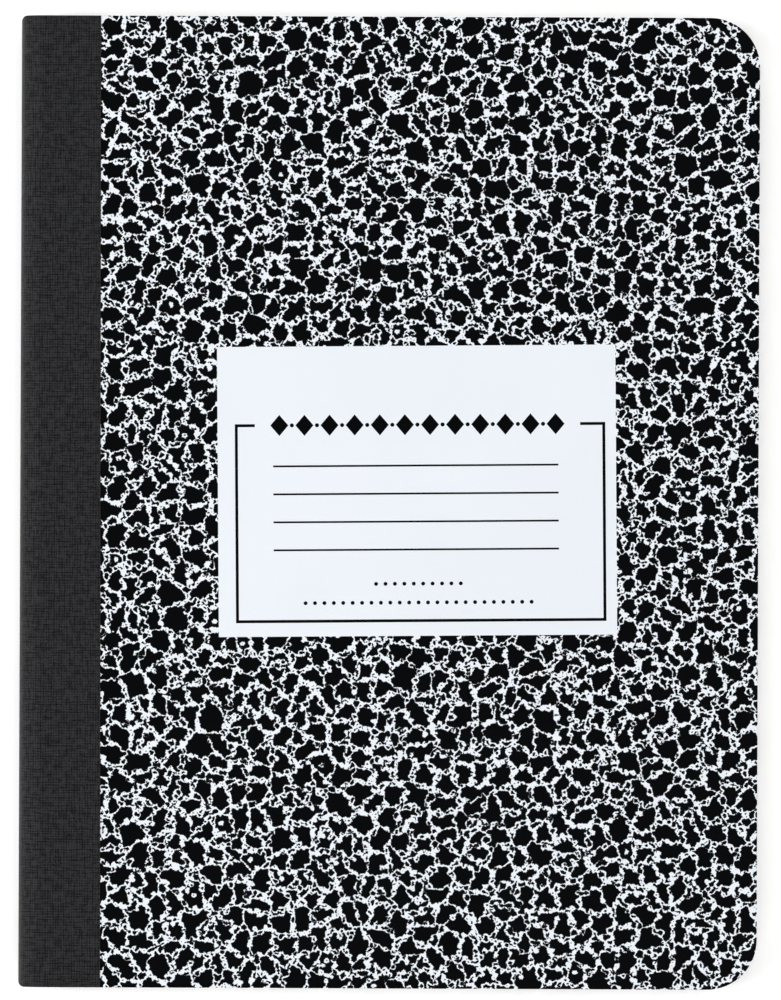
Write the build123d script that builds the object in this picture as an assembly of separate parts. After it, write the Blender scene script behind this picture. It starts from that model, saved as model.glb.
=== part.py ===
from build123d import *
import os

# A sewn composition notebook, closed and lying on its back cover, in millimetres.
#
# The book is one signature: a hundred leaves folded round each other and sewn through the fold,
# inside one folded board whose spine is covered by a strip of cloth tape. The board and the tape
# crease along two lines, one at each side of the round spine, and the covers swing there. So the
# board and the tape are each three solids here: one on each cover and one round the spine.
#
# Frame: +X from the spine to the fore edge, +Y to the head, +Z up out of the front cover.
# Origin: centre of the closed book's bounding box, on the surface that it lies on.

# The trimmed book
BOOK_HEIGHT = 247.65  # head to tail
BOOK_WIDTH = 188.3  # round of the spine to fore edge
FORE_CORNER_RADIUS = 12.7  # die-cut corners at the fore edge
SPINE_CORNER_RADIUS = 1.5  # soft corners at the ends of the spine

# The leaves
LEAF_COUNT = 100
LEAF_PITCH = 0.096  # one leaf and the air under it

# The cover board
BOARD_THICKNESS = 0.8

# The cloth tape, pressed into the board
TAPE_THICKNESS = 0.25
TAPE_SEAT_DEPTH = 0.15
TAPE_REACH_HEAD = 20.3  # round of the spine to the tape's edge, at the head
TAPE_REACH_TAIL = 21.0  # the same at the tail: the strip is laid slightly askew

# The seam through the fold
THREAD_DIAMETER = 0.4  # the runs along the inside and the outside of the fold
LOCKED_THREAD_DIAMETER = 0.3  # the threads pulled tight in a stitch hole
THREAD_CLEARANCE = 0.02
STITCH_LENGTH = 6.0

# Worked out from the sizes above
TAPE_PROUD = TAPE_THICKNESS - TAPE_SEAT_DEPTH
BLOCK_THICKNESS = LEAF_COUNT * LEAF_PITCH
BOOK_THICKNESS = BLOCK_THICKNESS + 2 * (BOARD_THICKNESS + TAPE_PROUD)
MID_Z = BOOK_THICKNESS / 2
BLOCK_TOP = MID_Z + BLOCK_THICKNESS / 2
BOARD_TOP = BLOCK_TOP + BOARD_THICKNESS
TAPE_UNDERSIDE = BOOK_THICKNESS - TAPE_THICKNESS
SPINE_X = -BOOK_WIDTH / 2
FORE_EDGE_X = BOOK_WIDTH / 2
SPINE_RADIUS = BOOK_THICKNESS / 2
BLOCK_RADIUS = BLOCK_THICKNESS / 2
TAPE_INNER_RADIUS = SPINE_RADIUS - TAPE_THICKNESS
HINGE_X = SPINE_X + SPINE_RADIUS  # the creases, where the flat covers meet the round spine
OUTER_RUN_X = SPINE_X + TAPE_THICKNESS + THREAD_CLEARANCE + THREAD_DIAMETER / 2
INNER_RUN_X = HINGE_X  # the fold of the innermost leaf


def trimmed_envelope():
    """The space inside the three-knife trim and the rounded corners, over the whole thickness."""
    outline = Rectangle(BOOK_WIDTH, BOOK_HEIGHT)
    spine_corners, fore_corners = outline.vertices().group_by(Axis.X)
    outline = fillet(fore_corners, FORE_CORNER_RADIUS)
    spine_corners = outline.vertices().group_by(Axis.X)[0]
    return extrude(fillet(spine_corners, SPINE_CORNER_RADIUS), BOOK_THICKNESS)


def slab(low_x, high_x, low_z, high_z):
    """A plate over the book's whole height, between two places along X and two levels."""
    width, thickness = high_x - low_x, high_z - low_z
    centre = Pos(low_x + width / 2, 0, low_z + thickness / 2)
    return centre * Box(width, BOOK_HEIGHT, thickness)


def half_round(radius):
    """The half cylinder of that radius about the spine's centre line, left of the creases."""
    rod = Rot(90, 0, 0) * Cylinder(radius, BOOK_HEIGHT)
    left_half = slab(SPINE_X, HINGE_X, 0, BOOK_THICKNESS)
    return (Pos(HINGE_X, 0, MID_Z) * rod) & left_half


def tape_strip(low_z, high_z):
    """The tape's flat stretch on a cover, between two levels, with its edge askew."""
    head_y, tail_y = BOOK_HEIGHT / 2, -BOOK_HEIGHT / 2
    corners = [
        (HINGE_X, tail_y),
        (SPINE_X + TAPE_REACH_TAIL, tail_y),
        (SPINE_X + TAPE_REACH_HEAD, head_y),
        (HINGE_X, head_y),
    ]
    outline = Plane.XY.offset(low_z) * make_face(Polyline(*corners, close=True))
    return extrude(outline, high_z - low_z)


def seam_run(x, radius):
    """A straight length of thread from tail to head, at the middle of the book's thickness."""
    return Pos(x, 0, MID_Z) * Rot(90, 0, 0) * Cylinder(radius, BOOK_HEIGHT)


def stitch_legs(radius):
    """The short rods through the fold, one at each stitch hole, between the two runs."""
    leg = Rot(0, 90, 0) * Cylinder(radius, INNER_RUN_X - OUTER_RUN_X)
    middle_x = (OUTER_RUN_X + INNER_RUN_X) / 2
    holes = int(BOOK_HEIGHT // STITCH_LENGTH)
    first_y = -(holes - 1) * STITCH_LENGTH / 2
    return [Pos(middle_x, first_y + n * STITCH_LENGTH, MID_Z) * leg for n in range(holes)]


def sewing_thread(envelope):
    """The lockstitch as one solid: its two runs, joined at each hole by the locked threads."""
    outer_run = seam_run(OUTER_RUN_X, THREAD_DIAMETER / 2) & envelope
    inner_run = seam_run(INNER_RUN_X, THREAD_DIAMETER / 2)
    return outer_run + [inner_run, *stitch_legs(LOCKED_THREAD_DIAMETER / 2)]


def seam_tunnel():
    """The room that the thread takes: a channel outside the fold, the holes, and the inner run."""
    run_room = THREAD_DIAMETER / 2 + THREAD_CLEARANCE
    leg_room = LOCKED_THREAD_DIAMETER / 2 + THREAD_CLEARANCE
    channel = slab(SPINE_X, OUTER_RUN_X + run_room, MID_Z - run_room, MID_Z + run_room)
    return channel + [seam_run(INNER_RUN_X, run_room), *stitch_legs(leg_room)]


def front_cover(envelope):
    """The board's front panel, with the shallow seat that the tape is pressed into."""
    panel = slab(HINGE_X, FORE_EDGE_X, BLOCK_TOP, BOARD_TOP) & envelope
    return panel - tape_strip(TAPE_UNDERSIDE, BOOK_THICKNESS)


def front_tape(envelope):
    """The part of the tape that is glued to the front cover."""
    return tape_strip(TAPE_UNDERSIDE, BOOK_THICKNESS) & envelope


def to_the_back(solid):
    """The same piece on the back cover: the book is alike above and below its middle."""
    return mirror(solid, Plane.XY.offset(MID_Z))


def book():
    """Every piece of the notebook, by node name."""
    envelope = trimmed_envelope()
    tunnel = seam_tunnel()
    leaves = slab(HINGE_X, FORE_EDGE_X, MID_Z - BLOCK_RADIUS, BLOCK_TOP)
    pages = (leaves + half_round(BLOCK_RADIUS)) & envelope
    board_round = half_round(TAPE_INNER_RADIUS) - half_round(BLOCK_RADIUS)
    tape_round = half_round(SPINE_RADIUS) - half_round(TAPE_INNER_RADIUS)
    cover, tape = front_cover(envelope), front_tape(envelope)
    return {
        "page_block": pages - tunnel,
        "sewing_thread": sewing_thread(envelope),
        "cover_spine": (board_round & envelope) - tunnel,
        "spine_tape_middle": tape_round & envelope,
        "front_cover": cover,
        "spine_tape_front": tape,
        "back_cover": to_the_back(cover),
        "spine_tape_back": to_the_back(tape),
    }


os.makedirs("parts", exist_ok=True)
for name, piece in book().items():
    export_step(piece, f"parts/{name}.step")
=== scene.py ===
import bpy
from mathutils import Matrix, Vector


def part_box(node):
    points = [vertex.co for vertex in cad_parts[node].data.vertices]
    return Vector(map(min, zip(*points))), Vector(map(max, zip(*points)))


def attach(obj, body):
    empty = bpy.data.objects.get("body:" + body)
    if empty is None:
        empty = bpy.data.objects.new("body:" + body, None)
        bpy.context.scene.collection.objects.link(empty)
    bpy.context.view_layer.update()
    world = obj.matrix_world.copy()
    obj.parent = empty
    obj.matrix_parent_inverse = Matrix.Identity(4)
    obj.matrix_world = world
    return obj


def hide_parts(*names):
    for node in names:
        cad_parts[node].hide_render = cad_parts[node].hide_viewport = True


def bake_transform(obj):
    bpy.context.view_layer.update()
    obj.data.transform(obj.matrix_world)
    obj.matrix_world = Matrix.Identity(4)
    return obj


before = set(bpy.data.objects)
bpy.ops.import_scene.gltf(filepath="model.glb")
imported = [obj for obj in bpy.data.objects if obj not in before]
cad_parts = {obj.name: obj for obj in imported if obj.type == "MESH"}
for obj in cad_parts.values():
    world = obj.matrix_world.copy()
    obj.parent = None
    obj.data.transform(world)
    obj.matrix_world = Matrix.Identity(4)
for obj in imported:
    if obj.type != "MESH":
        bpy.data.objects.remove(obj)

"""The looks of a sewn composition notebook: marbled board covers with a printed label panel, a
round cloth-taped spine, and fifty ruled sheets folded round each other.

Everything is in metres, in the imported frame: +X to the fore edge, +Y to the head, +Z up.
"""

import logging
import math
from dataclasses import dataclass, fields
from enum import Enum
from typing import Any, Callable

import bpy
import numpy as np
from bpy.types import Material, Object

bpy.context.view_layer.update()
MM = 0.001
PER_MM = (1 / MM, 1 / MM, 1 / MM)
Pair = tuple[float, float]
Point = tuple[float, float, float]
Colour = tuple[float, float, float, float]
LOG = logging.getLogger("notebook")
SURFACE_MAP = "surface"
BAKE_MAP = "OFBake"
LEAF_TONE = "leaf_tone"
SMOOTH_BELOW = math.radians(35)


# ---------------------------------------------------------------- shader writing


def two_way(operation: str) -> tuple[Callable[..., "Wire"], Callable[..., "Wire"]]:
    """Two methods for a Math node of that operation: with the wire first, and with it last."""

    def first(self: "Wire", other: Any) -> "Wire":
        """The operation on the wire and the other value."""
        return self._with(operation, self, other)

    def last(self: "Wire", other: Any) -> "Wire":
        """The operation on the other value and the wire."""
        return self._with(operation, other, self)

    return first, last


class Wire:
    """A number, vector or colour on its way through a shader, with arithmetic on numbers.

    Less and greater give 1 where they hold and 0 elsewhere, and most gives the greater of two.
    """

    def __init__(self, shader: "Shader", socket: Any) -> None:
        """Wraps an output socket of a node in that shader."""
        self.shader = shader
        self.socket = socket

    def _with(self, operation: str, *values: Any) -> "Wire":
        """A Math node of that operation on the values."""
        return self.shader.node("ShaderNodeMath", dict(enumerate(values)), operation=operation)

    __add__, __radd__ = two_way("ADD")
    __sub__, __rsub__ = two_way("SUBTRACT")
    __mul__, _ = two_way("MULTIPLY")
    __truediv__, _ = two_way("DIVIDE")
    __lt__, _ = two_way("LESS_THAN")
    __gt__, _ = two_way("GREATER_THAN")
    most, _ = two_way("MAXIMUM")

    def __abs__(self) -> "Wire":
        """Size without sign."""
        return self._with("ABSOLUTE", self)

    def wave(self) -> "Wire":
        """Cosine."""
        return self._with("COSINE", self)

    def to_nearest(self, step: float) -> "Wire":
        """Distance to the nearest whole multiple of the step."""
        return abs(self._with("WRAP", self, step / 2, -step / 2))

    def ramp(self, low: Any, high: Any) -> "Wire":
        """0 at low and 1 at high, with a soft S between them and flat outside."""
        return self.shader.node("ShaderNodeMapRange", {0: self, 1: low, 2: high},
                                interpolation_type="SMOOTHSTEP")


class Shader:
    """A node tree being written: it makes nodes, and joins them to what feeds them."""

    def __init__(self, owner: Material | bpy.types.World) -> None:
        """Starts with the owner's node tree, emptied."""
        owner.use_nodes = True
        self.owner = owner
        self.tree = owner.node_tree
        self.tree.nodes.clear()

    @classmethod
    def for_material(cls, name: str) -> "Shader":
        """Starts a new material of that name."""
        return cls(bpy.data.materials.new(name))

    def node(self, kind: str, sockets: dict[Any, Any], output: Any = 0, **settings: Any) -> Wire:
        """Adds one node.

        Args:
            kind: The node's type.
            sockets: What goes into its sockets, by name or number: values or wires.
            output: The output socket wanted, by name or number.
            settings: The node's own properties, such as a Math node's operation.

        Returns:
            The wanted output, or the first input of a node that has no output.
        """
        made = self.tree.nodes.new(kind)
        for key, value in settings.items():
            setattr(made, key, value)
        for key, value in sockets.items():
            if isinstance(value, Wire):
                self.tree.links.new(value.socket, made.inputs[key])
            else:
                made.inputs[key].default_value = value
        return Wire(self, made.outputs[output] if made.outputs else made.inputs[0])

    def place(self) -> Wire:
        """The point on the piece, in millimetres."""
        return self.scaled(self.node("ShaderNodeTexCoord", {}, "Object"), PER_MM)

    def surface_place(self) -> Wire:
        """The point along and across a bent sheet, in millimetres, from its surface map."""
        return self.scaled(self.node("ShaderNodeUVMap", {}, uv_map=SURFACE_MAP), PER_MM)

    def scaled(self, vector: Wire, by: Point) -> Wire:
        """The vector with each part multiplied."""
        return self.node("ShaderNodeVectorMath", {0: vector, 1: by}, operation="MULTIPLY")

    def moved(self, vector: Wire, by: Any) -> Wire:
        """The vector with another added."""
        return self.node("ShaderNodeVectorMath", {0: vector, 1: by}, operation="ADD")

    def parts(self, vector: Wire) -> tuple[Wire, Wire, Wire]:
        """The vector's three numbers."""
        split = self.node("ShaderNodeSeparateXYZ", {0: vector}).socket.node
        return tuple(Wire(self, socket) for socket in split.outputs)

    def noise(self, at: Wire, size: float, detail: float = 2.0, output: str = "Fac") -> Wire:
        """Smooth noise whose lumps are about that many millimetres across."""
        return self.node("ShaderNodeTexNoise",
                         {"Vector": at, "Scale": 1 / size, "Detail": detail}, output)

    def jostled(self, at: Wire, size: float, reach: float, detail: float = 2.0) -> Wire:
        """The point pushed about by noise of that size, by up to about half the reach."""
        push = self.moved(self.noise(at, size, detail, "Color"), (-0.5, -0.5, -0.5))
        return self.moved(at, self.scaled(push, (reach, reach, reach)))

    def cells(self, at: Wire, size: float, feature: str, output: str = "Distance") -> Wire:
        """What a flat field of random cells of that size says at a point.

        Args:
            at: The point, in millimetres.
            size: The cells' mean width.
            feature: F1 for the nearest cell, F2 for the next, DISTANCE_TO_EDGE for its edge.
            output: Distance, in cell widths; Position, the cell's centre; or Color, its own.

        Returns:
            That output.
        """
        return self.node("ShaderNodeTexVoronoi", {"Vector": at, "Scale": 1 / size}, output,
                         voronoi_dimensions="2D", feature=feature)

    def depth_inside(self, at: Wire, size: float) -> Wire:
        """How far inside its cell the point is, in millimetres."""
        return self.cells(at, size, "DISTANCE_TO_EDGE") * size

    def own_number(self, at: Wire, size: float, feature: str) -> Wire:
        """A number from 0 to 1 that belongs to the cell found at the point."""
        colour = self.cells(at, size, feature, "Color")
        return self.node("ShaderNodeSeparateColor", {0: colour})

    def mix(self, share: Any, first: Any, second: Any) -> Wire:
        """A colour from the first at share 0 to the second at share 1."""
        return self.node("ShaderNodeMix", {0: share, 6: first, 7: second}, 2, data_type="RGBA")

    def bump(self, height: Wire, depth: float) -> Wire:
        """A normal tilted by the height, whose full range is that many metres deep."""
        return self.node("ShaderNodeBump", {"Height": height, "Distance": depth, "Strength": 1.0})

    def finish(self, sockets: dict[str, Any]) -> Material:
        """Ends the material with one Principled shader.

        Args:
            sockets: What goes into the shader's sockets, by name.

        Returns:
            The material.
        """
        surface = self.node("ShaderNodeBsdfPrincipled", sockets)
        self.node("ShaderNodeOutputMaterial", {"Surface": surface})
        return self.owner


def grey(value: float) -> Colour:
    """A neutral colour of that linear brightness."""
    return (value, value, value, 1.0)


# ---------------------------------------------------------------- the finishes


@dataclass(frozen=True)
class Finish:
    """What every finish has: its least roughness, its shine, and how deep its tooth is."""

    name: str
    roughness: float = 0.86
    specular: float = 0.25
    tooth: float = 0.02 * MM

    def make(self) -> Material:
        """Writes the material."""
        shader = Shader.for_material(self.name)
        colour, roughness, height = self.looks(shader)
        return shader.finish({
            "Base Color": colour,
            "Roughness": roughness,
            "Specular IOR Level": self.specular,
            "Normal": shader.bump(height, self.tooth),
        })

    def looks(self, shader: Shader) -> tuple[Wire, Wire, Wire]:
        """Writes the colour, the roughness and the height of the tooth."""
        raise NotImplementedError


@dataclass(frozen=True)
class LabelPanel:
    """The white panel printed on the front cover, in millimetres from the book's centre."""

    centre: Pair = (7.2, 2.95)
    width: float = 101.5
    height: float = 73.9
    line: float = 0.76
    left: float = 4.4
    right: float = 2.7
    bottom: float = 3.5
    top: float = 19.7
    left_stub: float = 5.1
    right_stub: float = 6.4
    rule_width: float = 72.7
    rule_left: float = 14.1
    rule_top: float = 30.5
    rule_pitch: float = 7.13
    rule_count: int = 4
    rule_line: float = 0.49
    ornament_pitch: float = 6.4
    ornament_count: int = 12
    ornament_half: Pair = (2.3, 2.7)
    dot: float = 0.52
    bead_rows: tuple[tuple[float, int], ...] = ((60.6, 10), (65.4, 25))
    bead_pitch: float = 2.4
    bead: float = 0.5

    def box(self, x: Wire, y: Wire, low: Pair, high: Pair) -> Wire:
        """1 inside an upright box measured from the panel's top left corner, else 0.

        Args:
            x: Distance right of the corner.
            y: Distance below the corner.
            low: The box's left and top.
            high: The box's right and bottom.

        Returns:
            The mask.
        """
        inside_x = abs(x - (low[0] + high[0]) / 2) < (high[0] - low[0]) / 2
        inside_y = abs(y - (low[1] + high[1]) / 2) < (high[1] - low[1]) / 2
        return inside_x * inside_y

    def masks(self, x: Wire, y: Wire) -> tuple[Wire, Wire]:
        """The panel and the ink printed on it.

        Args:
            x: Millimetres right of the book's centre, along the print.
            y: Millimetres above the book's centre.

        Returns:
            1 on the panel, and 1 on its ink.
        """
        x = x - (self.centre[0] - self.width / 2)
        y = (self.centre[1] + self.height / 2) - y
        panel = self.box(x, y, (0, 0), (self.width, self.height))
        ink = self.frame(x, y).most(self.rules(x, y)).most(self.ornament(x, y))
        return panel, ink.most(self.beads(x, y))

    def frame(self, x: Wire, y: Wire) -> Wire:
        """The frame line, whose top side is left open between two short stubs."""
        low = (self.left, self.top)
        high = (self.width - self.right, self.height - self.bottom)
        inner_low = (low[0] + self.line, low[1] + self.line)
        inner_high = (high[0] - self.line, high[1] - self.line)
        line = self.box(x, y, low, high) - self.box(x, y, inner_low, inner_high)
        gap = self.box(x, y, (low[0] + self.left_stub, low[1] - self.line),
                       (high[0] - self.right_stub, inner_low[1] + self.line))
        return line * (1 - gap)

    def rules(self, x: Wire, y: Wire) -> Wire:
        """The writing lines, a pitch apart."""
        reach = (self.rule_count - 0.5) * self.rule_pitch
        field = self.box(x, y, (self.rule_left, self.rule_top - self.rule_pitch / 2),
                         (self.rule_left + self.rule_width, self.rule_top + reach))
        return field * ((y - self.rule_top).to_nearest(self.rule_pitch) < self.rule_line / 2)

    def middle(self) -> float:
        """Halfway between the stubs."""
        return (self.left + self.left_stub + self.width - self.right - self.right_stub) / 2

    def ornament(self, x: Wire, y: Wire) -> Wire:
        """A plain row of lozenges in the frame's open side, with a dot between each two.

        A lozenge is where |x| / a + |y| / b is under 1, and a dot where x x + y y is under its
        radius times itself.
        """
        half = self.ornament_count * self.ornament_pitch / 2
        from_middle = x - self.middle()
        y = y - (self.top + self.line / 2)
        across = (from_middle + self.ornament_pitch / 2).to_nearest(self.ornament_pitch)
        lozenge = (across / self.ornament_half[0] + abs(y) / self.ornament_half[1]) < 1
        between = self.ornament_pitch / 2 - across
        dot = (between * between + y * y) < self.dot**2
        inner = abs(from_middle) < half - self.ornament_pitch / 2
        return (lozenge * (abs(from_middle) < half)).most(dot * inner)

    def beads(self, x: Wire, y: Wire) -> Wire:
        """Two plain rows of round beads at the foot of the frame."""
        found = None
        for level, count in self.bead_rows:
            from_middle = x - self.middle()
            first = (count - 1) / 2 * self.bead_pitch
            across = (from_middle + first).to_nearest(self.bead_pitch)
            down = y - level
            inside = abs(from_middle) < count / 2 * self.bead_pitch
            row = ((across * across + down * down) < self.bead**2) * inside
            found = row if found is None else found.most(row)
        return found


@dataclass(frozen=True)
class MarbledPrint(Finish):
    """Black and white marbling under a semi-gloss coat.

    The black lies in lobes, as drops of ink do. Lobes that meet run together into blobs of all
    sizes, and white is left between one blob and the next.
    """

    roughness: float = 0.29
    specular: float = 0.09
    tooth: float = 0.012 * MM
    label: LabelPanel | None = None
    offset: Point = (0.0, 0.0, 0.0)
    skew: float = math.radians(0.6)
    lobe: float = 0.80
    small_blob: float = 2.3
    large_blob: float = 5.2
    small_border: float = -0.05
    large_border: float = 0.36
    border_spread: float = 1.0
    thin_vein: float = 0.48
    wide_vein: float = 0.80
    closing_size: float = 1.9
    closing_share: Pair = (0.34, 0.50)
    fray_size: float = 0.26
    fray_reach: float = 0.50
    drift: tuple[Pair, ...] = ((4.4, 3.4), (1.4, 3.0))
    raggedness: tuple[Pair, ...] = ((0.95, 0.50), (0.30, 0.32))
    border_size: float = 6.0
    wander_size: float = 3.6
    wander_from: Point = (40.0, 0.0, 0.0)
    wander_share: Pair = (0.35, 0.65)
    closing_from: Point = (0.0, 70.0, 0.0)
    same_blob: float = 0.00001
    loose_lobes: float = 0.006
    white: Colour = (0.765, 0.803, 0.849, 1.0)
    black: Colour = (0.0010, 0.0013, 0.0018, 1.0)

    def blob_number(self, shader: Shader, centre: Wire, own: Wire) -> Wire:
        """The number of the blob that a lobe belongs to.

        A lobe whose centre is further than a border inside a large cell takes that cell's
        number. Failing that, it takes its small cell's number plus ten, or its own plus
        twenty. A few lobes stay loose wherever they are. Whole tens keep the kinds apart.

        Args:
            shader: The material being written.
            centre: The lobe's centre.
            own: The lobe's own number.

        Returns:
            The blob's number.
        """
        drifted = centre
        for size, reach in self.drift:
            drifted = shader.jostled(drifted, size, reach)
        unevenness = shader.noise(centre, self.border_size) - 0.5
        border = self.large_border + unevenness * (2 * self.border_spread)
        in_large = shader.depth_inside(drifted, self.large_blob) > border
        in_small = shader.depth_inside(drifted, self.small_blob) > self.small_border
        small = shader.own_number(drifted, self.small_blob, "F1") + 10
        large = shader.own_number(drifted, self.large_blob, "F1")
        loose = own < self.loose_lobes
        number = in_small * small + (1 - in_small) * (own + 20)
        number = in_large * large + (1 - in_large) * number
        return loose * (own + 30) + (1 - loose) * number

    def veins(self, shader: Shader, at: Wire) -> Wire:
        """1 on the white of the marbling, else 0.

        White is where the nearest two lobes belong to different blobs, and where the distances
        to their centres differ by less than a width that wanders from place to place. In some
        places the width closes to nothing, so that blobs join, and its edges are frayed.
        """
        ragged = at
        for size, reach in self.raggedness:
            ragged = shader.jostled(ragged, size, reach)
        near = shader.cells(ragged, self.lobe, "F1")
        next_near = shader.cells(ragged, self.lobe, "F2")
        blobs = [
            self.blob_number(
                shader,
                shader.cells(ragged, self.lobe, feature, "Position"),
                shader.own_number(ragged, self.lobe, feature),
            )
            for feature in ("F1", "F2")
        ]
        apart = abs(blobs[0] - blobs[1]) > self.same_blob
        wander = shader.noise(shader.moved(at, self.wander_from), self.wander_size)
        wander = wander.ramp(*self.wander_share)
        closing = shader.noise(shader.moved(at, self.closing_from), self.closing_size)
        width = self.thin_vein + wander * (self.wide_vein - self.thin_vein)
        width = width * closing.ramp(*self.closing_share)
        fray = (shader.noise(at, self.fray_size, 1.0) - 0.5) * self.fray_reach
        return apart * ((next_near - near) * self.lobe + fray < width)

    def looks(self, shader: Shader) -> tuple[Wire, Wire, Wire]:
        """Writes the colour, the roughness and the height of the tooth."""
        at = shader.place()
        turned = shader.node("ShaderNodeVectorRotate",
                             {"Vector": at, "Angle": -self.skew}, rotation_type="Z_AXIS")
        x, y, _ = shader.parts(turned)
        flat = shader.node("ShaderNodeCombineXYZ", {0: x, 1: y})
        white = self.veins(shader, shader.moved(flat, self.offset))
        if self.label is not None:
            panel, ink = self.label.masks(x, y)
            white = (white * (1 - panel)).most(panel * (1 - ink))
        cloud = shader.noise(at, 30.0, 3.0).ramp(0.35, 0.65)
        fibre = shader.noise(at, 0.35, 3.0)
        dulled = tuple(part * 0.95 for part in self.white[:3]) + (1.0,)
        stock = shader.mix(cloud * 0.35 + fibre * 0.35, self.white, dulled)
        colour = shader.mix(white, self.black, stock)
        roughness = self.roughness + white * 0.10 + shader.noise(at, 9.0, 3.0) * 0.05
        return colour, roughness, fibre


@dataclass(frozen=True)
class BoardCore(Finish):
    """The trimmed edge of the cover board: grey-white pulp in fine layers, with stray fibres."""

    name: str = "board_core"
    tooth: float = 0.06 * MM
    pale: Colour = (0.52, 0.50, 0.46, 1.0)
    dark: Colour = (0.27, 0.26, 0.24, 1.0)

    def looks(self, shader: Shader) -> tuple[Wire, Wire, Wire]:
        """Writes the colour, the roughness and the height of the tooth."""
        at = shader.place()
        layers = shader.noise(shader.scaled(at, (0.12, 0.12, 4.0)), 0.9, 4.0)
        pulp = shader.noise(at, 0.3, 4.0)
        share = (layers * 0.6 + pulp * 0.4).ramp(0.35, 0.65)
        return shader.mix(share, self.dark, self.pale), self.roughness + pulp * 0.1, pulp


@dataclass(frozen=True)
class LiningPaper(Finish):
    """The uncoated inside of the cover board: pale, faintly cloudy, with a soft tooth."""

    name: str = "cover_lining"
    roughness: float = 0.80
    specular: float = 0.3
    pale: Colour = (0.72, 0.70, 0.65, 1.0)
    warm: Colour = (0.64, 0.61, 0.54, 1.0)

    def looks(self, shader: Shader) -> tuple[Wire, Wire, Wire]:
        """Writes the colour, the roughness and the height of the tooth."""
        at = shader.place()
        cloud = shader.noise(at, 18.0, 5.0).ramp(0.35, 0.7)
        fleck = shader.noise(at, 0.6, 2.0).ramp(0.68, 0.78)
        colour = shader.mix(cloud * 0.16 + 0.2, self.pale, self.warm)
        colour = shader.mix(fleck * 0.25, colour, grey(0.3))
        return colour, self.roughness + cloud * 0.08, shader.noise(at, 0.25, 3.0)


@dataclass(frozen=True)
class TapeCloth(Finish):
    """Black bookbinder's cloth: a plain weave filled with a satin dressing, whose threads vary
    a little in tone along both directions. Its colour is also painted lighter on the weave's
    raised crossings and darker in its hollows, as painted sheen and shade."""

    name: str = "tape_cloth"
    roughness: float = 0.46
    specular: float = 0.10
    tooth: float = 0.08 * MM
    thread: float = 0.66
    evenness: float = 0.22
    dark: Colour = (0.0010, 0.0012, 0.0018, 1.0)
    light: Colour = (0.0312, 0.0312, 0.0330, 1.0)

    def looks(self, shader: Shader) -> tuple[Wire, Wire, Wire]:
        """Writes the colour, the roughness and the height of the tooth."""
        at = shader.jostled(shader.surface_place(), 5.0, 0.25)
        x, y, _ = shader.parts(at)
        turn = 2 * math.pi / self.thread
        grid = ((x * turn).wave() + (y * turn).wave()) * 0.25 + 0.5
        lengthwise = shader.noise(shader.scaled(at, (1.0, self.evenness, 1.0)), self.thread, 1.0)
        crosswise = shader.noise(shader.scaled(at, (self.evenness, 1.0, 1.0)), self.thread, 1.0)
        threads = ((lengthwise + crosswise) * 0.5).ramp(0.34, 0.66)
        nap = shader.noise(at, 0.3, 3.0).ramp(0.3, 0.7)
        # Partly real tone (threads, nap) and partly painted: the weave grid, which is also the
        # bump's main height, paints sheen on the crossings and shade in the hollows.
        share = (grid * 0.38 + threads * 0.30 + nap * 0.32).ramp(0.13, 0.89)
        height = grid * 0.6 + threads * 0.2 + nap * 0.2
        return shader.mix(share, self.dark, self.light), self.roughness + nap * 0.14, height


@dataclass(frozen=True)
class PaperStock(Finish):
    """Writing paper: off-white, cloudy with fibre, each leaf a shade of its own at its edge."""

    name: str = "paper_stock"
    roughness: float = 0.88
    pale: Colour = (0.80, 0.79, 0.74, 1.0)
    shade: Colour = (0.56, 0.545, 0.50, 1.0)

    def bare(self, shader: Shader, at: Wire) -> Wire:
        """The bare sheet's colour."""
        leaf = shader.node("ShaderNodeAttribute", {}, "Fac", attribute_name=LEAF_TONE)
        cloud = shader.noise(at, 12.0, 4.0)
        return shader.mix(leaf * 0.8 + cloud * 0.12, self.pale, self.shade)

    def colour(self, shader: Shader, at: Wire) -> Wire:
        """The colour with all that is printed on the sheet, which here is nothing."""
        return self.bare(shader, at)

    def looks(self, shader: Shader) -> tuple[Wire, Wire, Wire]:
        """Writes the colour, the roughness and the height of the tooth."""
        at = shader.place()
        colour = self.colour(shader, at)
        return colour, self.roughness + shader.noise(at, 3.0) * 0.08, shader.noise(at, 0.3, 3.0)


@dataclass(frozen=True)
class RuledPaper(PaperStock):
    """The outer sheet's faces, college ruled: blue lines below a head margin, and a red line
    beside the left margin of each page."""

    name: str = "ruled_paper"
    roughness: float = 0.86
    pitch: float = 7.14
    head_margin: float = 28.0
    tail_margin: float = 9.0
    line: float = 0.26
    margin: float = 31.75
    blue: Colour = (0.30, 0.47, 0.70, 1.0)
    red: Colour = (0.78, 0.30, 0.34, 1.0)
    ink: float = 0.85
    fold_x: float = 0.0
    fore_x: float = 0.0
    head_y: float = 0.0
    middle_z: float = 0.0

    def colour(self, shader: Shader, at: Wire) -> Wire:
        """The bare sheet's colour with the blue lines and the red ones over it."""
        x, y, z = shader.parts(at)
        below_head = self.head_y - y
        ruled = (below_head > self.head_margin - self.line)
        ruled = ruled * (below_head < 2 * self.head_y - self.tail_margin)
        lines = ruled * ((below_head - self.head_margin).to_nearest(self.pitch) < self.line / 2)
        first_page = z > self.middle_z
        from_left = first_page * abs(x - self.fold_x) + (1 - first_page) * (self.fore_x - x)
        margin = abs(from_left - self.margin) < self.line * 0.6
        paper = self.bare(shader, at)
        return shader.mix(margin * self.ink, shader.mix(lines * self.ink, paper, self.blue),
                          self.red)


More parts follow.
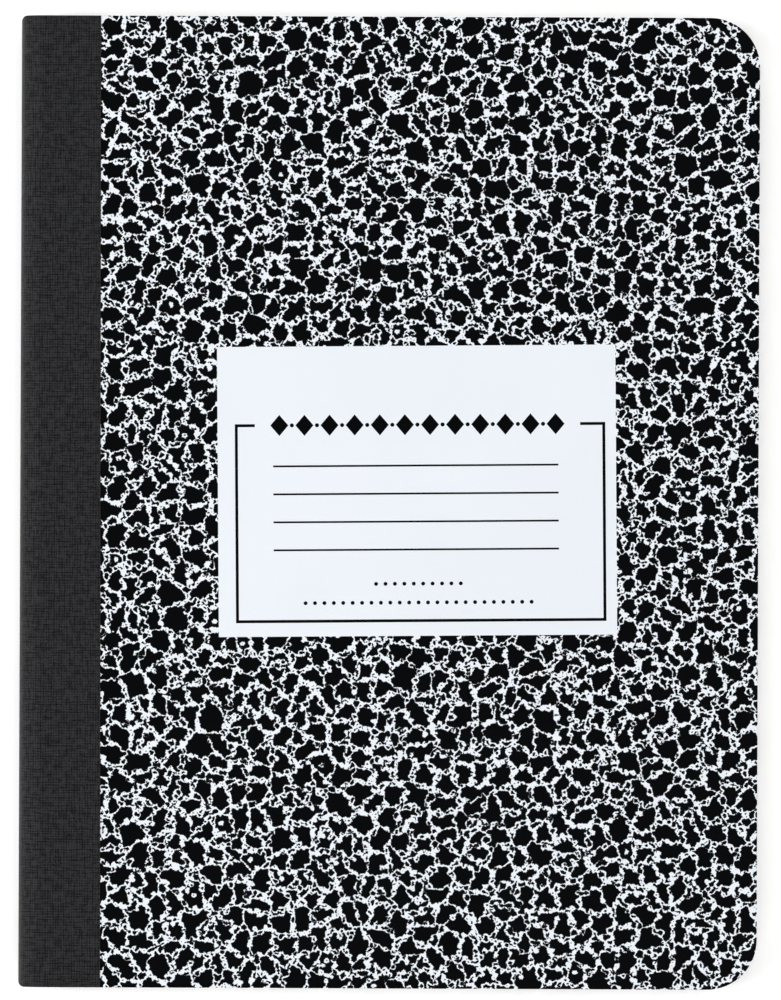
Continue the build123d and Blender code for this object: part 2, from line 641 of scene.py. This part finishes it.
@dataclass(frozen=True)
class CottonThread(Finish):
    """Bleached sewing thread, with its twist as slanting ridges, and painted shade darkening the
    grooves between them.
    """

    name: str = "cotton_thread"
    roughness: float = 0.75
    specular: float = 0.3
    tooth: float = 0.05 * MM
    pale: Colour = (0.78, 0.76, 0.70, 1.0)
    # The dark colour is painted shade for the twist's grooves; the bleached thread itself is
    # pale.
    dark: Colour = (0.50, 0.48, 0.43, 1.0)

    def looks(self, shader: Shader) -> tuple[Wire, Wire, Wire]:
        """Writes the colour, the roughness and the height of the tooth."""
        at = shader.place()
        x, y, z = shader.parts(at)
        ridge_and_shade = ((y * 2.2 + z * 3.0 + x * 0.6) * (2 * math.pi)).wave() * 0.5 + 0.5
        # Painted shade: the colour runs from pale on the ridges to dark in the grooves, on the
        # same height as the bump.
        return shader.mix(ridge_and_shade, self.dark, self.pale), self.roughness + ridge_and_shade * 0.12, ridge_and_shade


# ---------------------------------------------------------------- shapes


def placed(name: str, data: Any) -> Object:
    """A new object that holds the data, linked to the scene."""
    made = bpy.data.objects.new(name, data)
    bpy.context.scene.collection.objects.link(made)
    return made


def log_faces(piece: Object) -> None:
    """Logs how many faces the piece has."""
    LOG.info("%s: %d faces", piece.name, len(piece.data.polygons))


def grid(x: np.ndarray, y: np.ndarray, z: np.ndarray) -> np.ndarray:
    """Points from their coordinates, each spread over the shape that all of them make."""
    return np.stack(np.broadcast_arrays(x, y, z), axis=-1)


class Side(Enum):
    """Which cover a piece belongs to: the sign is the way that its outer face looks."""

    FRONT = 1
    BACK = -1


class Face(Enum):
    """The three kinds of surface on a bent sheet, in the order of their material slots."""

    OUTER = 0
    EDGE = 1
    INNER = 2


@dataclass(frozen=True)
class BookSizes:
    """The sizes that every piece shares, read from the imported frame."""

    spine_x: float
    fore_x: float
    head_y: float
    hinge_x: float
    middle_z: float
    top_z: float
    board_top_z: float
    block_top_z: float
    tape_underside_z: float
    tape_tail_x: float
    fore_corner: float = 12.7 * MM
    spine_corner: float = 1.5 * MM
    tape_skew: float = 0.7 * MM

    @classmethod
    def from_frame(cls) -> "BookSizes":
        """Reads the boxes of the CAD nodes."""
        tape_low, tape_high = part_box("spine_tape_front")
        cover_low, cover_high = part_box("front_cover")
        round_low, round_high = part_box("spine_tape_middle")
        return cls(
            spine_x=round_low.x,
            fore_x=cover_high.x,
            head_y=cover_high.y,
            hinge_x=cover_low.x,
            middle_z=(round_low.z + round_high.z) / 2,
            top_z=tape_high.z,
            board_top_z=cover_high.z,
            block_top_z=cover_low.z,
            tape_underside_z=tape_low.z,
            tape_tail_x=tape_high.x,
        )

    def half_height(self, x: np.ndarray, inset: float) -> np.ndarray:
        """Half the book's height at each x, drawn in by the inset.

        It is the half height of a rectangle whose corners are quarter circles: within a radius
        of an end, the height falls by the radius less the circle's own height there.
        """
        past_fore = np.clip(x - (self.fore_x - self.fore_corner), 0, self.fore_corner - inset)
        past_spine = np.clip(self.spine_x + self.spine_corner - x, 0, self.spine_corner)
        fore = self.fore_corner - np.sqrt((self.fore_corner - inset) ** 2 - past_fore**2)
        spine = self.spine_corner - np.sqrt(self.spine_corner**2 - past_spine**2)
        return self.head_y - np.where(past_fore > 0, fore, inset + spine)


def lengths(x: np.ndarray, z: np.ndarray) -> np.ndarray:
    """Distance along a section from its first station to each one."""
    return np.concatenate([[0.0], np.cumsum(np.hypot(np.diff(x), np.diff(z)))])


@dataclass
class Profile:
    """A bent sheet's section, as stations from the middle of the spine round to its free edge.

    Each station has a turn round the fold, or a place along the flat, and the radius from the
    fold's centre line to the sheet's outer and inner faces there, which on the flat is the
    height above the middle of the book.
    """

    turn: np.ndarray
    along: np.ndarray
    corner: np.ndarray
    outer: np.ndarray
    inner: np.ndarray
    shear: np.ndarray


@dataclass
class BentSheet:
    """Makes the closed mesh of a sheet that lies flat and bends round the spine.

    A station at turn a round the fold lies at (hinge - r cos a, middle + r sin a), one on the
    flat at (x, middle + r), and one on a rounded corner at the corner's centre plus its radius
    times the sine of the corner angle. The heights at each station run from tail to head, as
    the half height there times a number from -1 to 1.
    """

    sizes: BookSizes
    side: Side
    profile: Profile
    bevel: float
    columns: int = 2
    bare_to_x: float = -1.0

    def section(self, share: float, inset: float) -> tuple[np.ndarray, np.ndarray]:
        """The section at a share of the thickness.

        Args:
            share: 0 on the outer face, 1 on the inner face.
            inset: How far the trimmed edge is drawn in there.

        Returns:
            x and z of each station.
        """
        p, s = self.profile, self.sizes
        radius = p.outer + (p.inner - p.outer) * share
        corner_x = s.fore_x - s.fore_corner + (s.fore_corner - inset) * np.sin(p.corner)
        flat_x = np.where(p.corner > 0, corner_x, p.along)
        x = np.where(p.turn < math.pi / 2, s.hinge_x - radius * np.cos(p.turn), flat_x)
        return x, s.middle_z + self.side.value * radius * np.sin(p.turn)

    def layer(self, share: float, inset: float) -> np.ndarray:
        """The grid of points at a share of the thickness, as stations by columns by xyz."""
        x, z = self.section(share, inset)
        height = self.sizes.half_height(x, inset)
        across = np.linspace(-1, 1, self.columns)
        y = height[:, None] * across
        skew = -self.sizes.tape_skew * y / (2 * self.sizes.head_y)
        return grid(x[:, None] + self.profile.shear[:, None] * skew, y, z[:, None])

    def build(self) -> "MeshData":
        """The closed solid: an outer face, a bevelled edge all round, and an inner face."""
        thickness = float(np.min(self.profile.outer - self.profile.inner))
        rounding = self.bevel / thickness
        layers = [
            self.layer(0.0, self.bevel),
            self.layer(rounding, 0.0),
            self.layer(1 - rounding, 0.0),
            self.layer(1.0, self.bevel),
        ]
        x, z = self.section(0.0, 0.0)
        return layered_solid(layers, lengths(x, z), flip=self.side is Side.BACK,
                             bare_to_x=self.bare_to_x)


@dataclass(frozen=True)
class BakeColumns:
    """Where each kind of surface lies across a piece's unfolded map, which is 1 wide.

    Every kind runs the map's whole height, in a column of its own, so that no two overlap.
    """

    outer: Pair = (0.01, 0.74)
    inner: Pair = (0.76, 0.88)
    rims: Pair = (0.90, 0.99)
    low: float = 0.01
    high: float = 0.99

    def within(self, number: int, count: int) -> "BakeColumns":
        """The same columns, squeezed into one of several equal strips of the map."""

        def squeeze(pair: Pair) -> Pair:
            """A pair of places in the strip."""
            return (number + pair[0]) / count, (number + pair[1]) / count

        return BakeColumns(squeeze(self.outer), squeeze(self.inner), squeeze(self.rims))

    def laid(self, across: np.ndarray, up: np.ndarray, column: Pair) -> np.ndarray:
        """Map places for shares across a column and up the map."""
        u = column[0] + across * (column[1] - column[0])
        return np.stack([u, self.low + up * (self.high - self.low)], -1)


@dataclass
class MeshData:
    """Plain arrays of a mesh of four-sided faces."""

    points: np.ndarray
    faces: np.ndarray
    kinds: np.ndarray
    surface: np.ndarray
    bake: np.ndarray
    tones: np.ndarray | None = None

    @classmethod
    def joined(cls, parts: list["MeshData"]) -> "MeshData":
        """Several meshes that have tones, as one."""
        starts = np.cumsum([0] + [len(part.points) for part in parts])
        arrays = {f.name: [getattr(part, f.name) for part in parts] for f in fields(cls)}
        arrays["faces"] = [faces + start for faces, start in zip(arrays["faces"], starts)]
        return cls(**{name: np.concatenate(values) for name, values in arrays.items()})

    def to_object(self, name: str, materials: list[Material]) -> Object:
        """Puts the arrays into a new object.

        Args:
            name: The piece's name.
            materials: One for each kind of face, in the order of Face.

        Returns:
            The object, linked to the scene.
        """
        mesh = bpy.data.meshes.new(name)
        count = len(self.faces)
        mesh.vertices.add(len(self.points))
        mesh.vertices.foreach_set("co", self.points.astype(np.float32).ravel())
        mesh.loops.add(count * 4)
        mesh.loops.foreach_set("vertex_index", self.faces.astype(np.int32).ravel())
        mesh.polygons.add(count)
        mesh.polygons.foreach_set("loop_start", np.arange(0, count * 4, 4, dtype=np.int32))
        mesh.polygons.foreach_set("material_index", self.kinds.astype(np.int32))
        mesh.update(calc_edges=True)
        for label, values in ((SURFACE_MAP, self.surface), (BAKE_MAP, self.bake)):
            layer = mesh.uv_layers.new(name=label)
            layer.uv.foreach_set("vector", values.astype(np.float32).ravel())
        if self.tones is not None:
            tone = mesh.attributes.new(LEAF_TONE, "FLOAT", "POINT")
            tone.data.foreach_set("value", self.tones.astype(np.float32))
        for material in materials:
            mesh.materials.append(material)
        mesh.polygons.foreach_set("use_smooth", np.ones(count, dtype=bool))
        mesh.set_sharp_from_angle(angle=SMOOTH_BELOW)
        return placed(name, mesh)


def layered_solid(layers: list[np.ndarray], stations_at: np.ndarray, flip: bool,
                  columns: BakeColumns = BakeColumns(), bare_to_x: float = 0.0) -> MeshData:
    """A closed solid whose first and last grids are its faces, and whose edges join the rims.

    The rim of a grid runs along its first column, its last station, back along its last column
    and back along its first station, and each face of the edge joins two neighbours on one rim
    to the same two on the next. Where there is a bevel, its first ring belongs to the outer
    face, as print does on a trimmed board, except on the part that a tape covers.

    Args:
        layers: Grids of stations by columns by xyz, from the outer face to the inner one.
        stations_at: Distance along the section of each station.
        flip: Whether the faces turn the other way round.
        columns: Where the surfaces lie on the unfolded map.
        bare_to_x: How far along x the bevel belongs to the edge instead.

    Returns:
        The mesh, with its face kinds, surface map and bake map.
    """
    stations, width, _ = layers[0].shape
    index = np.arange(stations * width).reshape(stations, width)
    rim = np.concatenate([index[:-1, 0], index[-1, :-1], index[:0:-1, -1], index[0, :0:-1]])
    quads = np.stack([index[:-1, :-1], index[1:, :-1], index[1:, 1:], index[:-1, 1:]], -1)
    quads = quads.reshape(-1, 4)

    flats = [layer.reshape(-1, 3) for layer in layers]
    points = [flats[0]] + [layer[rim] for layer in flats[1:-1]] + [flats[-1]]
    starts = np.cumsum([0] + [len(part) for part in points])
    rims = [rim] + [starts[k] + np.arange(len(rim)) for k in range(1, len(layers) - 1)]
    rims.append(starts[len(layers) - 1] + rim)

    along = np.broadcast_to(stations_at[:, None], (stations, width)).ravel()
    up = flats[0][:, 1]
    place = np.stack([along, up], -1)
    across_share, up_share = along / stations_at[-1], 0.5 + up / (2 * np.abs(up).max())

    def flat(corners: np.ndarray, column: Pair) -> np.ndarray:
        """The unfolded map of a face of the sheet."""
        return columns.laid(across_share[corners], up_share[corners], column)

    edge_count = len(layers) - 1
    outer_kinds = np.full(len(quads), Face.OUTER.value)
    faces, kinds, surface = [quads], [outer_kinds], [place[quads]]
    bake = [flat(quads, columns.outer)]
    after_rim = np.roll(rim, -1)
    step = np.linspace(0, 1, len(rim) + 1)
    for k in range(edge_count):
        after = np.roll(rims[k], -1), np.roll(rims[k + 1], -1)
        faces.append(np.stack([rims[k], rims[k + 1], after[1], after[0]], -1))
        bevel = (k == 0) & (edge_count > 1) & (flats[0][rim, 0] >= bare_to_x)
        kinds.append(np.where(bevel, Face.OUTER.value, Face.EDGE.value))
        surface.append(place[np.stack([rim, rim, after_rim, after_rim], -1)])
        low, high = (k + 0.05) / edge_count, (k + 0.95) / edge_count
        across = np.tile([low, high, high, low], (len(rim), 1))
        ends = np.stack([step[:-1], step[:-1], step[1:], step[1:]], -1)
        bake.append(columns.laid(across, ends, columns.rims))
    turned = quads[:, ::-1]
    faces.append(starts[edge_count] + turned)
    kinds.append(np.full(len(quads), Face.INNER.value))
    surface.append(place[turned])
    bake.append(flat(turned, columns.inner))

    all_faces = np.concatenate(faces)
    surface_map, bake_map = np.concatenate(surface), np.concatenate(bake)
    if flip:
        all_faces = all_faces[:, ::-1]
        surface_map, bake_map = surface_map[:, ::-1], bake_map[:, ::-1]
    return MeshData(np.concatenate(points), all_faces, np.concatenate(kinds), surface_map,
                    bake_map)


# ---------------------------------------------------------------- the covers


@dataclass
class CoverHalf:
    """What the half of the board and the half of the tape on one side of the book share."""

    sizes: BookSizes
    side: Side
    crease_width: float = 2.4 * MM

    def bend_at_hinge(self, piece: Object) -> None:
        """Bakes a finished piece's placement into its mesh."""
        s, side = self.sizes, self.side
        level = s.middle_z + side.value * (s.top_z - s.middle_z)
        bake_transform(piece)


@dataclass
class CoverBoard(CoverHalf):
    """One half of the folded cover board, from the middle of the spine to the fore edge."""

    bevel: float = 0.06 * MM
    seat_ramp: float = 0.05 * MM

    def profile(self) -> Profile:
        """The board's section, pressed down where the tape sits on it."""
        s = self.sizes
        round_turn = np.linspace(0, math.pi / 2, 33)[:-1]
        crease = s.hinge_x + np.linspace(0, self.crease_width, 17)
        seat_x = s.tape_tail_x - s.tape_skew / 2
        seat = np.array([seat_x, seat_x + self.seat_ramp])
        middle = np.linspace(seat_x + 6 * MM, s.fore_x - s.fore_corner, 9)
        corner = np.linspace(0, math.pi / 2, 19)[1:]
        flat = np.concatenate([crease, seat, middle])
        along = np.concatenate([round_turn * 0, flat, corner * 0])
        pressed = s.tape_underside_z - s.middle_z
        full = s.board_top_z - s.middle_z
        outer = np.full(len(along), full)
        outer[: len(round_turn) + len(crease) + 1] = pressed
        shear = np.zeros(len(along))
        shear[len(round_turn) + len(crease): len(round_turn) + len(crease) + 2] = 1.0
        turns = np.concatenate([round_turn, np.full(len(flat) + len(corner), math.pi / 2)])
        corners = np.concatenate([np.zeros(len(round_turn) + len(flat)), corner])
        inner = np.full(len(along), s.block_top_z - s.middle_z)
        return Profile(turns, along, corners, outer, inner, shear)

    def build(self, printed: Material, core: Material, lining: Material) -> None:
        """Makes the board and hides the CAD cover and spine that it stands for.

        Args:
            printed: The outer face's finish.
            core: The trimmed edge's finish.
            lining: The inner face's finish.
        """
        data = BentSheet(self.sizes, self.side, self.profile(), self.bevel,
                         bare_to_x=self.sizes.tape_tail_x).build()
        piece = data.to_object(f"cover_board_{self.side.name.lower()}", [printed, core, lining])
        self.bend_at_hinge(piece)
        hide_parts("cover_spine", f"{self.side.name.lower()}_cover")
        log_faces(piece)


@dataclass
class SpineTape(CoverHalf):
    """One half of the cloth tape, from the middle of the spine onto a cover."""

    bevel: float = 0.03 * MM

    def profile(self) -> Profile:
        """The tape's section: round the spine, then flat to its skewed edge."""
        s = self.sizes
        round_turn = np.linspace(0, math.pi / 2, 41)[:-1]
        reach = s.tape_tail_x - s.tape_skew / 2
        crease = s.hinge_x + np.linspace(0, self.crease_width, 17)
        flat = np.concatenate([crease, np.linspace(crease[-1], reach, 6)[1:]])
        count = len(round_turn) + len(flat)
        shear = np.zeros(count)
        shear[len(round_turn) + len(crease):] = np.linspace(0, 1, 6)[1:]
        return Profile(
            turn=np.concatenate([round_turn, np.full(len(flat), math.pi / 2)]),
            along=np.concatenate([round_turn * 0, flat]),
            corner=np.zeros(count),
            outer=np.full(count, s.top_z - s.middle_z),
            inner=np.full(count, s.tape_underside_z - s.middle_z),
            shear=shear,
        )

    def cut_width(self) -> float:
        """The half's width laid flat: a quarter turn round the spine, and its mean flat."""
        s = self.sizes
        radius = (s.top_z + s.tape_underside_z) / 2 - s.middle_z
        return radius * math.pi / 2 + (s.tape_tail_x - s.tape_skew / 2 - s.hinge_x)

    def build(self, cloth: Material) -> None:
        """Makes the tape from that cloth and hides the CAD tape pieces that it stands for."""
        data = BentSheet(self.sizes, self.side, self.profile(), self.bevel).build()
        piece = data.to_object(f"cloth_tape_{self.side.name.lower()}", [cloth] * len(Face))
        self.cut_width()
        2 * self.sizes.head_y
        self.bend_at_hinge(piece)
        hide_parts("spine_tape_middle", f"spine_tape_{self.side.name.lower()}")
        log_faces(piece)


# ---------------------------------------------------------------- the leaves


@dataclass
class FoldedSheets:
    """Fifty sheets folded round each other, with the outermost one as a piece of its own."""

    sizes: BookSizes
    count: int = 50
    leaf: float = 0.076 * MM
    cover_gap: float = 0.01 * MM
    trim_scatter: float = 0.05 * MM
    most_drawn_in: float = 0.15 * MM
    parting: tuple[int, ...] = (7, 16, 21, 33, 41)
    parting_weight: float = 2.2
    seed: int = 4
    outer_tone: float = 0.1
    outer_columns: BakeColumns = BakeColumns((0.01, 0.86), (0.88, 0.93), (0.95, 0.99))
    nested_columns: BakeColumns = BakeColumns((0.04, 0.30), (0.34, 0.60), (0.64, 0.96))

    def radii(self) -> tuple[np.ndarray, np.ndarray]:
        """The outer radius of each sheet at the fold, and its height at the fore edge.

        Round the fold the sheets are evenly spaced. At the fore edge the spaces are shares of
        the same total, larger where the leaves part a little.
        """
        total = self.sizes.block_top_z - self.sizes.middle_z - self.cover_gap
        even = total * (1 - np.arange(self.count) / self.count)
        weights = np.ones(self.count)
        weights[list(self.parting)] = self.parting_weight
        used = np.concatenate([[0.0], np.cumsum(weights)])
        return even, total * (1 - used[:-1] / used[-1])

    def half_profile(self, fold: float, fore: float, drawn_in: float) -> dict[str, np.ndarray]:
        """One leaf's section from the fold to the fore edge.

        Its height passes from the fold's radius to the fore edge's height along a smooth step
        of the share of the way across.
        """
        s = self.sizes
        turn = np.linspace(0, math.pi / 2, 11)[:-1]
        along = np.concatenate([[s.hinge_x], np.linspace(s.hinge_x, s.fore_x, 9)[1:-1]])
        along = along[along < s.fore_x - s.fore_corner]
        corner = np.linspace(0, math.pi / 2, 11)
        corner[0] = 1e-6
        corner_x = s.fore_x - s.fore_corner + s.fore_corner * np.sin(corner)
        way = (np.concatenate([along, corner_x]) - s.hinge_x) / (s.fore_x - s.hinge_x)
        way = np.clip(way, 0, 1)
        smooth = way * way * (3 - 2 * way)
        radius = np.concatenate([np.full(len(turn), fold), fold + (fore - fold) * smooth])
        x = np.concatenate([s.hinge_x - fold * np.cos(turn), along, corner_x - drawn_in])
        z = np.concatenate([fold * np.sin(turn), radius[len(turn):]])
        inward_x = np.concatenate([np.cos(turn), np.zeros(len(along) + len(corner))])
        inward_z = np.concatenate([-np.sin(turn), -np.ones(len(along) + len(corner))])
        return {"x": x, "z": z, "inward_x": inward_x, "inward_z": inward_z}

    def sheet(self, fold: float, fore: float, drawn_in: float, tone: float,
              columns: BakeColumns) -> MeshData:
        """A whole folded sheet: one leaf's section, mirrored below the middle.

        Args:
            fold: The sheet's radius round the fold.
            fore: Its height above the middle at the fore edge.
            drawn_in: How far its trimmed edge lies inside the book's.
            tone: Its own shade, from 0 to 1.
            columns: Where its surfaces lie on the unfolded map.

        Returns:
            The closed mesh.
        """
        half = self.half_profile(fold, fore, drawn_in)
        sign = {"x": 1, "z": -1, "inward_x": 1, "inward_z": -1}
        whole = {
            key: np.concatenate([sign[key] * values[:0:-1], values])
            for key, values in half.items()
        }
        layers = []
        for depth in (0.0, min(self.leaf, fold * 0.8)):
            x = whole["x"] + whole["inward_x"] * depth
            z = self.sizes.middle_z + whole["z"] + whole["inward_z"] * depth
            height = self.sizes.half_height(np.minimum(x + drawn_in, self.sizes.fore_x), 0.0)
            y = (height - drawn_in)[:, None] * np.array([-1.0, 1.0])
            layers.append(grid(x[:, None], y, z[:, None]))
        stations = lengths(whole["x"], whole["z"])
        data = layered_solid(layers, stations, flip=False, columns=columns)
        data.tones = np.full(len(data.points), tone)
        return data

    def build(self, ruled: Material, paper: Material) -> None:
        """Makes the outer sheet and the forty-nine inside it.

        Args:
            ruled: The finish of the outer sheet's faces.
            paper: The finish of every other surface.
        """
        random = np.random.default_rng(self.seed)
        fold, fore = self.radii()
        drawn_in = np.abs(random.normal(0, self.trim_scatter, self.count))
        drawn_in = drawn_in.clip(0, self.most_drawn_in)
        drift = np.convolve(random.normal(0, 1, self.count + 6), np.ones(7) / 7, "valid")
        tones = np.clip(0.35 + drift * 0.5 + random.normal(0, 0.15, self.count), 0, 1)
        outer = self.sheet(fold[0], fore[0], 0.0, self.outer_tone, self.outer_columns)
        self.dress(outer.to_object("outer_sheet", [ruled, paper, ruled]), "page_block")
        inside = [
            self.sheet(fold[k], fore[k], drawn_in[k], tones[k],
                       self.nested_columns.within(k - 1, self.count - 1))
            for k in range(1, self.count)
        ]
        nested = MeshData.joined(inside).to_object("nested_sheets", [paper] * len(Face))
        self.dress(nested, "page_block")

    def dress(self, piece: Object, node: str) -> None:
        """Puts a piece of paper in the book block."""
        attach(piece, "book_block")
        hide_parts(node)
        log_faces(piece)


# ---------------------------------------------------------------- the studio


@dataclass(frozen=True)
class Softbox:
    """A rectangular lamp that looks at the book and isn't seen itself: metres and watts.

    One that isn't mirrored gives light but no highlight.
    """

    name: str
    place: Point
    power: float
    size: Pair = (1.4, 1.4)
    mirrored: bool = True

    def hang(self) -> None:
        """Puts the lamp up, turned towards the book."""
        light = bpy.data.lights.new(self.name, "AREA")
        light.shape = "RECTANGLE"
        light.size, light.size_y = self.size
        light.energy = self.power
        made = placed(self.name, light)
        made.location = self.place
        made.rotation_euler = (-made.location).to_track_quat("-Z", "Y").to_euler()
        made.visible_camera = False
        made.visible_glossy = self.mirrored


@dataclass(frozen=True)
class Studio:
    """A pale floor with a faint glow, as a light table has, a soft lamp on each side and a low
    one at the spine, and a camera straight above the front cover.

    The floor is just below the lowest part of the back crease when that cover is wide open.
    """

    sizes: BookSizes
    lens: float = 400.0
    sensor: float = 36.0
    seen_height: float = 254.8 * MM
    aim: Pair = (0.40 * MM, 0.66 * MM)
    roll: float = math.radians(0.23)
    far: float = 100.0
    floor_level: float = -1.85 * MM
    floor_reach: float = 12.0
    floor_glow: float = 0.24
    sky: float = 0.10
    softboxes: tuple[Softbox, ...] = (
        Softbox("left", (-1.5, 0.0, 1.5), 17.5),
        Softbox("right", (1.5, 0.0, 1.5), 17.5),
        Softbox("head", (0.0, 1.5, 1.5), 14.0),
        Softbox("tail", (0.0, -1.5, 1.5), 14.0),
        Softbox("spine", (-1.6, 0.0, 0.46), 19.5, (1.6, 0.30), mirrored=False),
    )

    def floor(self) -> None:
        """A plain pale floor."""
        x = y = self.floor_reach
        level = self.floor_level
        corners = [(-x, -y, level), (x, -y, level), (x, y, level), (-x, y, level)]
        mesh = bpy.data.meshes.new("floor")
        mesh.from_pydata(corners, [], [(0, 1, 2, 3)])
        mesh.materials.append(Shader.for_material("floor").finish({
            "Base Color": grey(0.93),
            "Roughness": 0.9,
            "Specular IOR Level": 0.1,
            "Emission Color": grey(1.0),
            "Emission Strength": self.floor_glow,
        }))
        made = placed("floor", mesh)

    def surround(self) -> None:
        """An even pale surround: dim as light, and white where it is seen past the floor."""
        world = bpy.data.worlds.new("studio")
        shader = Shader(world)
        dim = shader.node("ShaderNodeBackground", {"Color": grey(1.0), "Strength": self.sky})
        seen = shader.node("ShaderNodeBackground", {"Color": grey(1.0), "Strength": 1.0})
        looking = shader.node("ShaderNodeLightPath", {}, "Is Camera Ray")
        both = shader.node("ShaderNodeMixShader", {0: looking, 1: dim, 2: seen})
        shader.node("ShaderNodeOutputWorld", {0: both})
        bpy.context.scene.world = world

    def camera(self) -> None:
        """Looks straight down, from where the lens takes in the wanted height."""
        data = bpy.data.cameras.new("camera")
        data.lens, data.sensor_width = self.lens, self.sensor
        data.clip_end = self.far
        made = placed("camera", data)
        distance = self.seen_height * self.lens / self.sensor
        made.location = (*self.aim, self.sizes.board_top_z + distance)
        made.rotation_euler = (0.0, 0.0, self.roll)
        bpy.context.scene.camera = made

    def build(self) -> None:
        """Sets up the whole studio."""
        bpy.context.scene.view_settings.view_transform = "Standard"
        self.floor()
        for softbox in self.softboxes:
            softbox.hang()
        self.surround()
        self.camera()


# ---------------------------------------------------------------- the whole notebook


def main() -> None:
    """Builds the notebook and the studio, and logs how many faces each piece has."""
    logging.basicConfig(level=logging.INFO, format="%(message)s")
    sizes = BookSizes.from_frame()
    Studio(sizes).build()

    core, lining, cloth = BoardCore().make(), LiningPaper().make(), TapeCloth().make()
    prints = {
        Side.FRONT: MarbledPrint("marbled_front", label=LabelPanel()).make(),
        Side.BACK: MarbledPrint("marbled_back", offset=(210.0, 95.0, 0.0)).make(),
    }
    for side in Side:
        CoverBoard(sizes, side).build(prints[side], core, lining)
        SpineTape(sizes, side).build(cloth)

    ruled = RuledPaper(
        fold_x=sizes.hinge_x / MM, fore_x=sizes.fore_x / MM,
        head_y=sizes.head_y / MM, middle_z=sizes.middle_z / MM,
    ).make()
    FoldedSheets(sizes).build(ruled, PaperStock().make())

    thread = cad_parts["sewing_thread"]
    thread.data.materials.clear()
    thread.data.materials.append(CottonThread().make())
    log_faces(thread)


if __name__ == "__main__":
    main()
